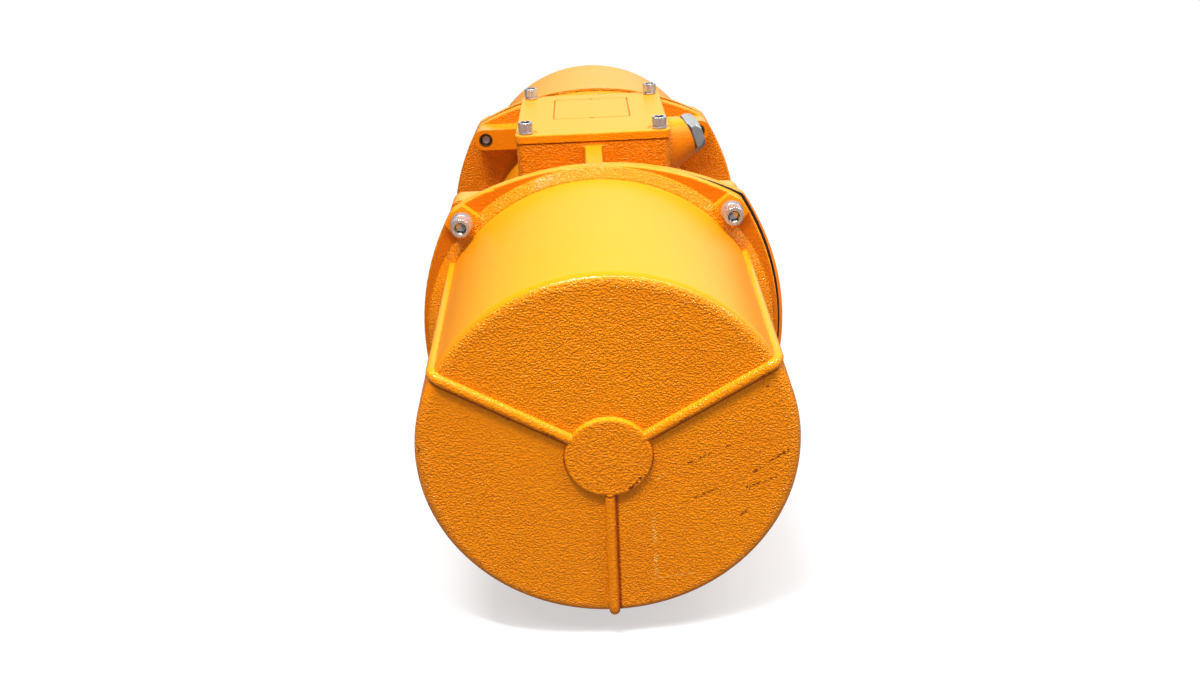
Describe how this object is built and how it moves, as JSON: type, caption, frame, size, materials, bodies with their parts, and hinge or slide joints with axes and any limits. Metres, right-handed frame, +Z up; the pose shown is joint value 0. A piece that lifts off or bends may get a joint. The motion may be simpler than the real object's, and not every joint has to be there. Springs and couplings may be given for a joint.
{
  "type": "vibration motor",
  "caption": "Foot-mounted unbalance vibration motor with long bolted end covers over adjustable eccentric weights and a terminal box on top.",
  "frame": {"origin": "centre of the foot face, in the plane the four feet stand on, under the middle of the shaft", "axes": "+Y along the shaft from the front cover to the rear cover, +Z up from the foot face, +X to the right of someone facing the front cover (the cable entry's side)"},
  "size_m": [0.25, 0.5764, 0.2569],
  "materials": {
    "housing_paint": "orange-yellow textured paint over an iron casting",
    "black_rubber": "black gasket sheet",
    "zinc_steel": "bright zinc-plated steel",
    "terminal_plastic": "moulded thermoset",
    "brass": "turned brass",
    "core_steel": "stacked electrical sheet",
    "winding_copper": "varnished copper wire",
    "cast_aluminium": "cast aluminium",
    "ground_steel": "ground shaft steel",
    "bearing_steel": "hardened and polished",
    "cast_iron": "as-cast and machined"
  },
  "bodies": {
    "motor_frame": {"housing": "housing_paint", "terminal_box_lid": "housing_paint", "terminal_box_gasket": "black_rubber", "lid_screws": "zinc_steel", "lid_screw_washers": "zinc_steel", "cable_entry_plug": "zinc_steel", "cable_entry_seal": "black_rubber", "terminal_block": "terminal_plastic", "terminal_studs": "brass", "terminal_nuts": "brass", "terminal_block_screws": "zinc_steel", "stator_core": "core_steel", "stator_windings": "winding_copper", "front_cover": "housing_paint", "front_cover_gasket": "black_rubber", "front_cover_screws": "zinc_steel", "front_cover_screw_washers": "zinc_steel", "front_bearing_shield": "cast_iron", "front_bearing_shield_screws": "zinc_steel", "front_bearing_outer_ring": "bearing_steel", "front_bearing_cap": "cast_iron", "front_bearing_cap_screws": "zinc_steel", "rear_cover": "housing_paint", "rear_cover_gasket": "black_rubber", "rear_cover_screws": "zinc_steel", "rear_cover_screw_washers": "zinc_steel", "rear_bearing_shield": "cast_iron", "rear_bearing_shield_screws": "zinc_steel", "rear_bearing_outer_ring": "bearing_steel", "rear_bearing_cap": "cast_iron", "rear_bearing_cap_screws": "zinc_steel"},
    "rotor": {"shaft": "ground_steel", "rotor_core": "core_steel", "rotor_cage": "cast_aluminium", "front_bearing_inner_ring": "bearing_steel", "front_weight_spacer": "ground_steel", "front_weight_key": "ground_steel", "front_fixed_weight": "cast_iron", "front_fixed_weight_screw": "zinc_steel", "front_shaft_end_washer": "zinc_steel", "front_retaining_ring": "bearing_steel", "rear_bearing_inner_ring": "bearing_steel", "rear_weight_spacer": "ground_steel", "rear_weight_key": "ground_steel", "rear_fixed_weight": "cast_iron", "rear_fixed_weight_screw": "zinc_steel", "rear_shaft_end_washer": "zinc_steel", "rear_retaining_ring": "bearing_steel"},
    "front_roller_set": {"front_bearing_rollers": "bearing_steel", "front_bearing_cage": "brass"},
    "front_outer_weight": {"front_adjustable_weight": "cast_iron", "front_adjustable_weight_screw": "zinc_steel"},
    "rear_roller_set": {"rear_bearing_rollers": "bearing_steel", "rear_bearing_cage": "brass"},
    "rear_outer_weight": {"rear_adjustable_weight": "cast_iron", "rear_adjustable_weight_screw": "zinc_steel"}
  },
  "joints": [
    {"name": "rotor_spin", "type": "hinge", "parent": "motor_frame", "child": "rotor", "pos_m": [0, 0, 0.125], "axis": [0, 1, 0], "continuous": true},
    {"name": "front_roller_orbit", "type": "hinge", "parent": "motor_frame", "child": "front_roller_set", "pos_m": [0, 0, 0.125], "axis": [0, 1, 0], "continuous": true},
    {"name": "rear_roller_orbit", "type": "hinge", "parent": "motor_frame", "child": "rear_roller_set", "pos_m": [0, 0, 0.125], "axis": [0, 1, 0], "continuous": true},
    {"name": "front_weight_setting", "type": "hinge", "parent": "rotor", "child": "front_outer_weight", "pos_m": [0, 0, 0.125], "axis": [0, 1, 0], "range_deg": [0, 180]},
    {"name": "rear_weight_setting", "type": "hinge", "parent": "rotor", "child": "rear_outer_weight", "pos_m": [0, 0, 0.125], "axis": [0, 1, 0], "range_deg": [0, 180]}
  ],
  "couplings": [
    {"joint": "front_roller_orbit", "follows": "rotor_spin", "ratio": 0.4116},
    {"joint": "rear_roller_orbit", "follows": "rotor_spin", "ratio": 0.4116}
  ]
}
